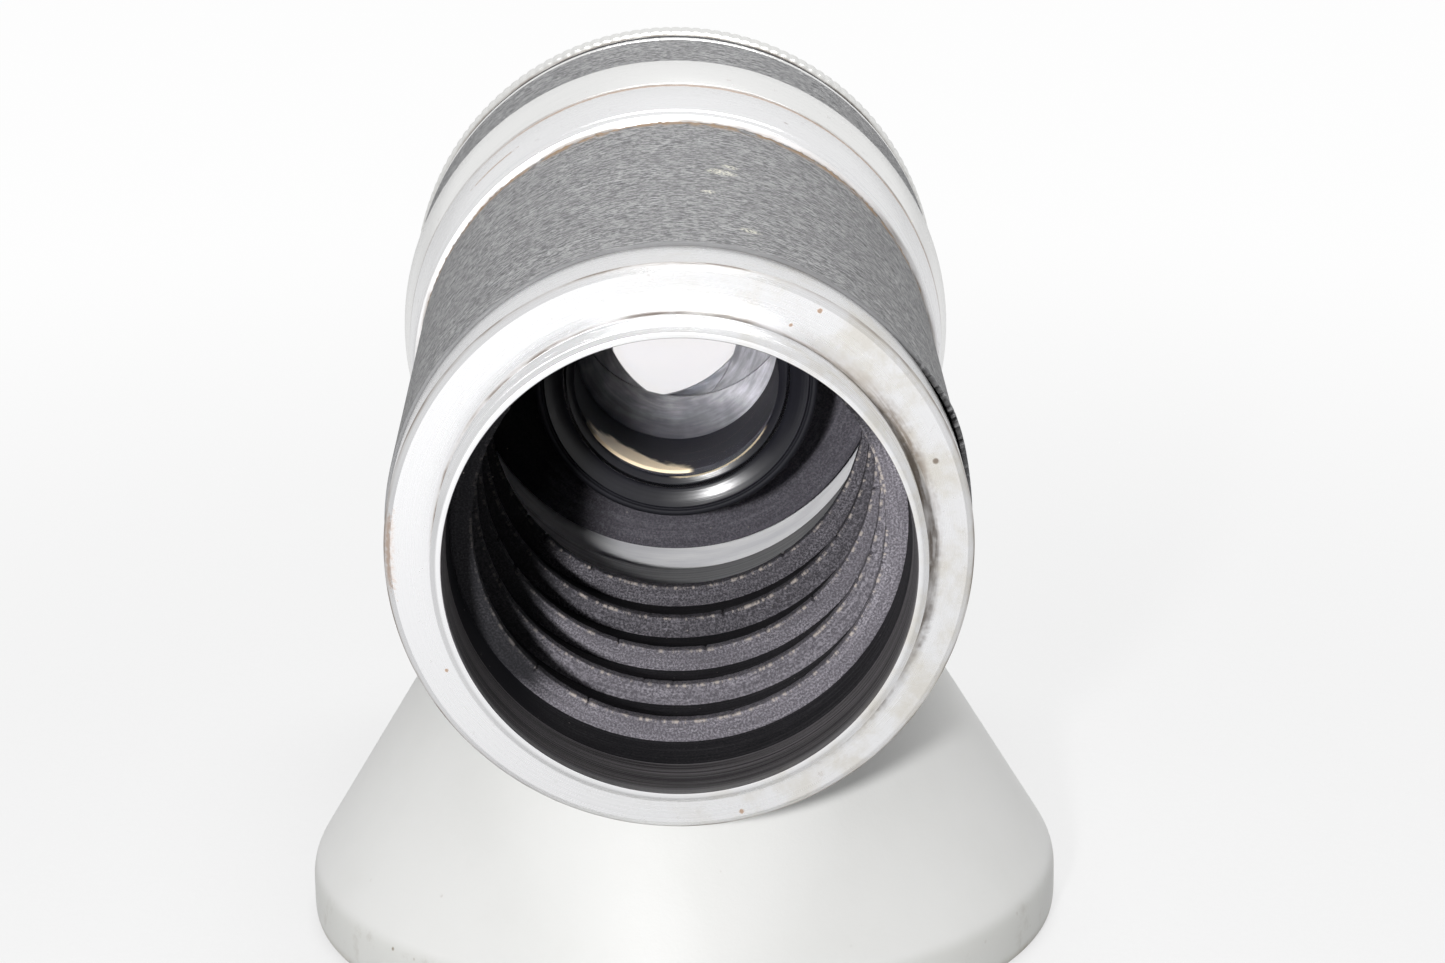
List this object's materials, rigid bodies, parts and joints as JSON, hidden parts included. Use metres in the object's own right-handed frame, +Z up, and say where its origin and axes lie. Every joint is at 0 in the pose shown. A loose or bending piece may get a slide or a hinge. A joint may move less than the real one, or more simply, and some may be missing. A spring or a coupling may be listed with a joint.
{
  "type": "telephoto lens",
  "caption": "Screw-mount telephoto lens with a leatherette barrel, a chrome focus ring, a front aperture ring and an iris, lying on a low white cradle stand.",
  "frame": {"origin": "middle of the object's box on the table, under the lens's middle", "axes": "+Y along the lens axis, from the rear screw mount to the front; +Z up; +X to the right seen from the rear"},
  "size_m": [0.072, 0.1034, 0.0756],
  "materials": {
    "white_plastic": "white, satin, slightly soiled",
    "bare_aluminium": "turned, worn, with brown specks",
    "chrome": "satin chrome plating",
    "black_paint": "matt black anti-glare paint",
    "black_gloss": "semi-gloss black",
    "leatherette": "black wrinkle-grain leatherette",
    "steel": "machined steel",
    "blade_steel": "blackened spring steel",
    "coated_glass": "polished, violet coating"
  },
  "bodies": {
    "stand": {"stand_body": "white_plastic"},
    "barrel": {"mount_flange": "bare_aluminium", "flange_lock_screw": "steel", "barrel_tube": "black_paint", "baffle_ring_1": "black_paint", "baffle_ring_2": "black_paint", "baffle_ring_3": "black_paint", "baffle_ring_4": "black_paint", "baffle_ring_5": "black_paint", "leatherette_wrap": "leatherette", "fixed_collar": "chrome", "focus_stop_pin": "steel", "head_key_pin": "steel"},
    "focus": {"focus_ring": "chrome", "focus_grip": "leatherette", "focus_screw_1": "steel", "focus_screw_2": "steel", "focus_screw_3": "steel"},
    "head": {"head_barrel": "black_paint", "rear_cell": "black_gloss", "rear_element": "coated_glass", "rear_retaining_ring": "black_gloss", "iris_base_ring": "black_paint", "front_cell": "black_paint", "middle_element": "coated_glass", "middle_retaining_ring": "black_paint", "front_element": "coated_glass", "front_retaining_ring": "black_paint", "front_trim_ring": "black_paint", "aperture_retainer": "chrome"},
    "aperture": {"aperture_ring": "chrome", "aperture_pin": "steel", "aperture_link": "steel", "iris_cam_ring": "black_paint"},
    "blade_01": {"iris_blade_01": "blade_steel"},
    "blade_02": {"iris_blade_02": "blade_steel"},
    "blade_03": {"iris_blade_03": "blade_steel"},
    "blade_04": {"iris_blade_04": "blade_steel"},
    "blade_05": {"iris_blade_05": "blade_steel"},
    "blade_06": {"iris_blade_06": "blade_steel"},
    "blade_07": {"iris_blade_07": "blade_steel"},
    "blade_08": {"iris_blade_08": "blade_steel"}
  },
  "joints": [
    {"name": "lens_lift", "type": "slide", "parent": "stand", "child": "barrel", "axis": [0, 0, 1], "range_m": [0, 0.06]},
    {"name": "focus_turn", "type": "hinge", "parent": "barrel", "child": "focus", "pos_m": [0, 0.0342, 0.0476], "axis": [0, 1, 0], "range_deg": [0, 270]},
    {"name": "head_slide", "type": "slide", "parent": "barrel", "child": "head", "axis": [0, 1, 0], "range_m": [0, 0.013]},
    {"name": "aperture_turn", "type": "hinge", "parent": "head", "child": "aperture", "pos_m": [0, 0.049, 0.0476], "axis": [0, 1, 0], "range_deg": [-31, 29]},
    {"name": "blade_01_turn", "type": "hinge", "parent": "head", "child": "blade_01", "pos_m": [0.0182, 0.0276, 0.0476], "axis": [0, 1, 0], "range_deg": [-15.6, 14.6]},
    {"name": "blade_02_turn", "type": "hinge", "parent": "head", "child": "blade_02", "pos_m": [0.01287, 0.02812, 0.03473], "axis": [0, 1, 0], "range_deg": [-15.6, 14.6]},
    {"name": "blade_03_turn", "type": "hinge", "parent": "head", "child": "blade_03", "pos_m": [0, 0.02864, 0.0294], "axis": [0, 1, 0], "range_deg": [-15.6, 14.6]},
    {"name": "blade_04_turn", "type": "hinge", "parent": "head", "child": "blade_04", "pos_m": [-0.01287, 0.02916, 0.03473], "axis": [0, 1, 0], "range_deg": [-15.6, 14.6]},
    {"name": "blade_05_turn", "type": "hinge", "parent": "head", "child": "blade_05", "pos_m": [-0.0182, 0.02968, 0.0476], "axis": [0, 1, 0], "range_deg": [-15.6, 14.6]},
    {"name": "blade_06_turn", "type": "hinge", "parent": "head", "child": "blade_06", "pos_m": [-0.01287, 0.0302, 0.06047], "axis": [0, 1, 0], "range_deg": [-15.6, 14.6]},
    {"name": "blade_07_turn", "type": "hinge", "parent": "head", "child": "blade_07", "pos_m": [0, 0.03072, 0.0658], "axis": [0, 1, 0], "range_deg": [-15.6, 14.6]},
    {"name": "blade_08_turn", "type": "hinge", "parent": "head", "child": "blade_08", "pos_m": [0.01287, 0.03124, 0.06047], "axis": [0, 1, 0], "range_deg": [-15.6, 14.6]}
  ],
  "couplings": [
    {"joint": "head_slide", "follows": "focus_turn", "m_per_rad": 0.002758},
    {"joint": "blade_01_turn", "follows": "aperture_turn", "ratio": 0.5},
    {"joint": "blade_02_turn", "follows": "aperture_turn", "ratio": 0.5},
    {"joint": "blade_03_turn", "follows": "aperture_turn", "ratio": 0.5},
    {"joint": "blade_04_turn", "follows": "aperture_turn", "ratio": 0.5},
    {"joint": "blade_05_turn", "follows": "aperture_turn", "ratio": 0.5},
    {"joint": "blade_06_turn", "follows": "aperture_turn", "ratio": 0.5},
    {"joint": "blade_07_turn", "follows": "aperture_turn", "ratio": 0.5},
    {"joint": "blade_08_turn", "follows": "aperture_turn", "ratio": 0.5}
  ]
}
